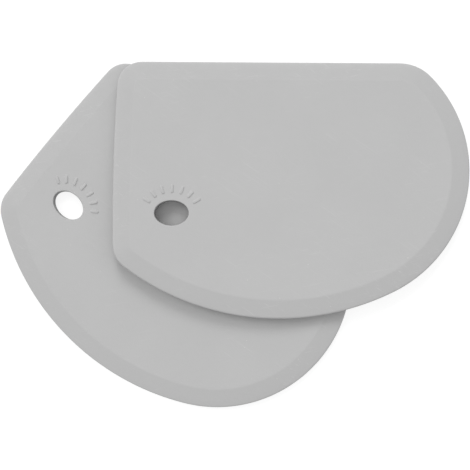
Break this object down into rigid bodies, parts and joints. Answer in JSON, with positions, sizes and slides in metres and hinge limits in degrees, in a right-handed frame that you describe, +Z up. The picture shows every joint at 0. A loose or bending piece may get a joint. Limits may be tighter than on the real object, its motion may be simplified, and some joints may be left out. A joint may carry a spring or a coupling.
{
  "type": "bowl scraper",
  "caption": "Flexible D-shaped kitchen bowl scrapers with bevelled edges and an oval hanging hole, one fanned across the other, for scraping and cutting dough.",
  "frame": {"origin": "on the table, under the middle of the bounding box of both scrapers", "axes": "+X along the upper scraper's long edge from its crown corner to its toe corner, +Y towards both long edges' side, +Z up from the table"},
  "size_m": [0.2004, 0.1468, 0.0109],
  "materials": {
    "silicone": "matte",
    "nylon": "matte"
  },
  "bodies": {
    "lower_scraper": {"lower_silicone_blade": "silicone", "lower_stiffener_core": "nylon"},
    "upper_scraper": {"upper_silicone_blade": "silicone", "upper_stiffener_core": "nylon"}
  },
  "joints": [
    {"name": "upper_lift", "type": "slide", "parent": "lower_scraper", "child": "upper_scraper", "axis": [0, 0, 1], "range_m": [0, 0.05]}
  ]
}
